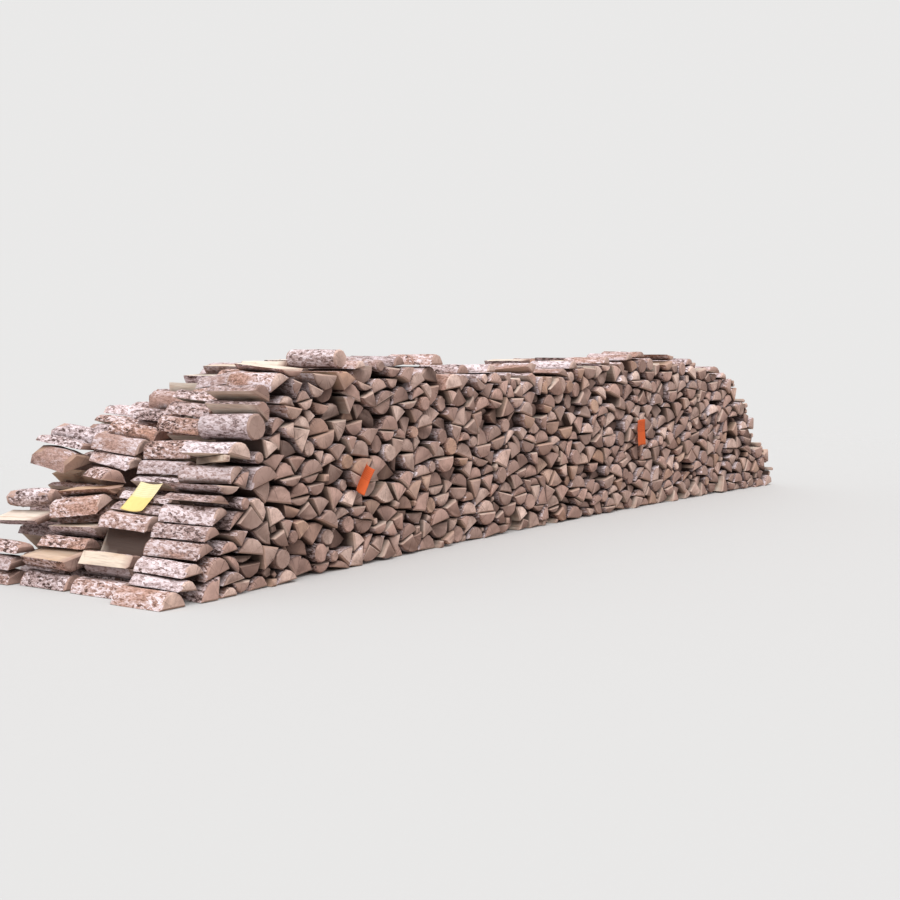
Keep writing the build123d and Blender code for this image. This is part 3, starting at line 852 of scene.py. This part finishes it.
def place_on_core(row, sizes, logs, core):
    """The rule that lays a log into one row of the core's outermost layer, where it shows."""
    down, forward = Vector((0, 0, -1)), Vector((0, -1, 0))

    def roof(x, y):
        hit = core.ray_cast(Vector((x, y, ABOVE_PILE)), down)[0]
        return hit.z if hit else 0.0

    def place_log(own):
        own[:, 1] += row * sizes.row_pitch
        low, high = own.min(axis=0), own.max(axis=0)
        own[:, 1] = own[:, 1].clip(low[1], low[1] + sizes.row_pitch - ROW_GAP)
        middle = (low + high) / 2
        if any(roof(x, middle[1]) < z + ROOF_PLAY for x, _, z in own.tolist()):
            return None
        lowest_roof = min(roof(middle[0] + reach, middle[1])
                          for reach in (-SIDE_SEARCH, 0.0, SIDE_SEARCH))
        start = Vector((middle[0], low[1] - FRONT_PLAY, middle[2]))
        covered = any(tree.ray_cast(start, forward, FRONT_SEARCH)[0] for tree in (logs, core))
        return own if lowest_roof < high[2] + LAYER_DEPTH or not covered else None

    return place_log


class FirewoodStep(bpy.types.Operator):
    """One step of the pile's making."""

    bl_options = {"REGISTER", "UNDO"}


class OBJECT_OT_dress_rows(FirewoodStep):
    """Round the bark, wear the ends and roughen the sides of every modelled log, and mark the
    painted shade in their gaps.
    """

    bl_idname = "object.dress_rows"
    bl_label = "Dress the rows"

    def execute(self, context):
        sizes = context.scene.log_sizes
        pieces = [dress_logs(node, sizes, sizes.seed + number)
                  for number, node in enumerate(LOG_NODES)]
        neighbours = tree_of([piece.data for piece in pieces])
        for piece in pieces:
            mark_gap_shade(piece, neighbours)
        return {"FINISHED"}


class OBJECT_OT_dress_core(FirewoodStep):
    """Paint the hidden core dark as shade and lay its logs on it where they can be seen."""

    bl_idname = "object.dress_core"
    bl_label = "Dress the core"

    def execute(self, context):
        sizes = context.scene.log_sizes
        self.core(sizes)
        seed = sizes.seed + COVER_SEED
        self.cover(front_copies("back_ends", sizes, seed), place_at_back(sizes))
        logs = tree_of([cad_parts[name].data for name in LOG_NODES])
        core = tree_of([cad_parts["hidden_core"].data])
        for row, name in ((1, "second_row_inner"), (2, "third_row_inner"), (3, "back_row_inner")):
            self.cover(front_copies(name, sizes, seed + ROW_SEED * row),
                       place_on_core(row, sizes, logs, core))
        return {"FINISHED"}

    def core(self, sizes):
        """The core, drawn in behind the logs that cover it."""
        piece = copy_of("hidden_core", "hidden_core_dressed")
        bpy.ops.object.mode_set(mode="EDIT")
        bpy.ops.mesh.select_all(action="SELECT")
        bpy.ops.transform.shrink_fatten(value=-sizes.core_inset, use_even_offset=True)
        bpy.ops.object.mode_set(mode="OBJECT")
        for corner in piece.data.vertices:
            corner.co.x = max(corner.co.x, LOWEST.x + sizes.core_start)
            if corner.co.z < sizes.core_inset * 1.5:
                corner.co.z = 0.0
        # Painted shade: the core is dark because it stands for the unlit inside of the pile
        piece.data.materials.append(finishes()["hidden"])
        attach(piece, "root")
        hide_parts("hidden_core")

    def cover(self, piece, place_log):
        """Logs of the hidden rows, where they can be seen."""
        keep_logs(piece, place_log)
        mark_gap_shade(piece, tree_of([piece.data]))
        only(piece)
        bpy.ops.object.shade_smooth_by_angle(angle=SHARP_TURN)
        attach(piece, "root")


class OBJECT_OT_hang_tags(FirewoodStep):
    """Model the paper tags, rolled a little and with lifted corners."""

    bl_idname = "object.hang_tags"
    bl_label = "Hang the tags"

    def execute(self, context):
        for node, roll, wider, taller in TAGS:
            self.tag(node, roll, wider, taller)
        return {"FINISHED"}

    def tag(self, node, roll, wider, taller):
        """One tag: its front subdivided, rolled a little and given the thickness of card."""
        piece = copy_of(node, node + "_paper")
        mesh = bmesh.new()
        mesh.from_mesh(piece.data)
        face = max(mesh.faces, key=lambda one: (one.calc_area() > TAG_FRONT_AREA,
                                                -one.normal.y - one.normal.x))
        corners = [corner.co.copy() for corner in face.verts]
        normal = face.normal.copy()
        mesh.clear()
        made = [mesh.verts.new(corner) for corner in corners]
        mesh.faces.new(made)
        mesh.to_mesh(piece.data)
        mesh.free()
        only(piece)
        bpy.ops.object.mode_set(mode="EDIT")
        bpy.ops.mesh.select_all(action="SELECT")
        bpy.ops.mesh.subdivide(number_cuts=TAG_CUTS)
        bpy.ops.object.mode_set(mode="OBJECT")
        sides = sorted((corners[1] - corners[0], corners[3] - corners[0]),
                       key=lambda side: side.length)
        across, up = (side if side.z > 0 else -side for side in sides)
        middle = sum(corners, Vector((0, 0, 0))) / 4
        layer = piece.data.uv_layers.new(name="paper")
        for loop in piece.data.loops:
            reach = piece.data.vertices[loop.vertex_index].co - middle
            layer.data[loop.index].uv = (reach.dot(across) / across.length_squared + 0.5,
                                         reach.dot(up) / up.length_squared + 0.5)
        bow = across.length / 2 * wider / roll
        for vertex in piece.data.vertices:
            reach = vertex.co - middle
            u = 2 * reach.dot(across) / across.length_squared
            v = 2 * reach.dot(up) / up.length_squared
            vertex.co += across.normalized() * (bow * math.sin(roll * u) - u * across.length / 2)
            vertex.co += up * (v / 2) * (taller - 1)
            lift = bow * (1 - math.cos(roll * u)) + CORNER_LIFT * (u * v) ** 2
            vertex.co += normal * (lift + CREASE_HEIGHT * noise.noise(vertex.co * CREASES))
        paper = "yellow" if node.startswith("yellow") else "orange"
        piece.data.materials.append(finishes()[paper])
        thick = piece.modifiers.new("card", "SOLIDIFY")
        thick.thickness = CARD_THICKNESS
        thick.offset = 0.0
        bpy.ops.object.modifier_apply(modifier=thick.name)
        bpy.ops.object.shade_smooth()
        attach(piece, "root")
        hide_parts(node)


class OBJECT_OT_set_studio(FirewoodStep):
    """Lay the floor and set up the soft light and the camera."""

    bl_idname = "object.set_studio"
    bl_label = "Set the studio"

    def execute(self, context):
        studio = context.scene.studio_sizes
        self.floor()
        self.light(context, studio)
        self.camera(context, studio)
        context.scene.view_settings.view_transform = "Standard"
        return {"FINISHED"}

    def floor(self):
        """A pale floor that fades into the background away from the pile."""
        bpy.ops.mesh.primitive_plane_add(size=FLOOR_SIZE, location=(0, 0, -FLOOR_DROP))
        floor = bpy.context.object
        floor.name = "floor"
        finish = Finish("pale_floor", 0.95)
        where = finish.node("TexCoord", output=3)
        squeezed = finish.node("VectorMath", {"operation": "MULTIPLY"},
                               {0: where, 1: FLOOR_SQUEEZE})
        reach = finish.node("VectorMath", {"operation": "LENGTH"}, {0: squeezed}, output=1)
        faded = finish.ramp(reach * FLOOR_FADE, (0.22, 1.0), (0.95, 0.0))
        finish.join(faded, finish.shader.inputs["Alpha"])
        seen = finish.node("LightPath")
        finish.colour(finish.mix(seen, FLOOR_COLOUR, FLOOR_SEEN))
        floor.data.materials.append(finish.material)

    def light(self, context, studio):
        """Light all round, pale to the camera, and a wide soft one from above the long slope."""
        world = bpy.data.worlds.new("studio")
        world.use_nodes = True
        context.scene.world = world
        tree = world.node_tree
        back = tree.nodes["Background"]
        back.inputs["Color"].default_value = SKY_COLOUR
        back.inputs["Strength"].default_value = studio.sky
        pale = tree.nodes.new("ShaderNodeBackground")
        pale.inputs["Color"].default_value = SKY_SEEN
        path = tree.nodes.new("ShaderNodeLightPath")
        seen = tree.nodes.new("ShaderNodeMath")
        seen.operation = "MAXIMUM"
        tree.links.new(path.outputs["Is Camera Ray"], seen.inputs[0])
        tree.links.new(path.outputs["Is Glossy Ray"], seen.inputs[1])
        blend = tree.nodes.new("ShaderNodeMixShader")
        tree.links.new(seen.outputs[0], blend.inputs[0])
        tree.links.new(back.outputs[0], blend.inputs[1])
        tree.links.new(pale.outputs[0], blend.inputs[2])
        tree.links.new(blend.outputs[0], tree.nodes["World Output"].inputs["Surface"])
        bpy.ops.object.light_add(type="SUN", location=LAMP_PLACE)
        lamp = context.object
        lamp.name = "overhead_lamp"
        lamp.data.energy = studio.lamp
        lamp.data.angle = studio.lamp_spread
        lamp.rotation_euler = Vector(LAMP_WAY).to_track_quat("-Z", "Y").to_euler()

    def camera(self, context, studio):
        """The camera stands off the near corner and looks along the front of the rows."""
        bpy.ops.object.camera_add()
        camera = context.object
        camera.name = "camera"
        camera.data.sensor_width = FRAME_WIDTH
        camera.data.lens = studio.lens
        camera.data.clip_end = FAR_END
        camera.location = (LOWEST.x + CAMERA_OFFSET[0], LOWEST.y + CAMERA_OFFSET[1],
                           studio.eye_height)
        ahead = Vector((math.cos(studio.heading) * math.cos(studio.dip),
                        math.sin(studio.heading) * math.cos(studio.dip), -math.sin(studio.dip)))
        camera.rotation_euler = ahead.to_track_quat("-Z", "Y").to_euler()
        context.scene.camera = camera


class VIEW3D_PT_log_stack(bpy.types.Panel):
    """Sizes, colours and steps of the pile."""

    bl_label = "Log stack"
    bl_space_type = "VIEW_3D"
    bl_region_type = "UI"
    bl_category = "Log stack"

    def draw(self, context):
        column = self.layout.column()
        for name in GROUPS:
            group = getattr(context.scene, name)
            for setting in group.__annotations__:
                column.prop(group, setting)
        for step in STEPS:
            column.operator(step.bl_idname)


GROUPS = {"log_sizes": LogSizes, "log_colours": LogColours, "studio_sizes": StudioSizes}
STEPS = (OBJECT_OT_dress_rows, OBJECT_OT_dress_core, OBJECT_OT_hang_tags, OBJECT_OT_set_studio)


def register():
    for group in GROUPS.values():
        bpy.utils.register_class(group)
    for name, group in GROUPS.items():
        setattr(bpy.types.Scene, name, bpy.props.PointerProperty(type=group))
    for kind in (*STEPS, VIEW3D_PT_log_stack):
        bpy.utils.register_class(kind)


def unregister():
    for kind in (VIEW3D_PT_log_stack, *reversed(STEPS)):
        bpy.utils.unregister_class(kind)
    for name, group in reversed(GROUPS.items()):
        delattr(bpy.types.Scene, name)
        bpy.utils.unregister_class(group)


def main():
    register()
    bpy.ops.object.dress_rows()
    bpy.ops.object.dress_core()
    bpy.ops.object.hang_tags()
    bpy.ops.object.set_studio()


if __name__ == "__main__":
    main()
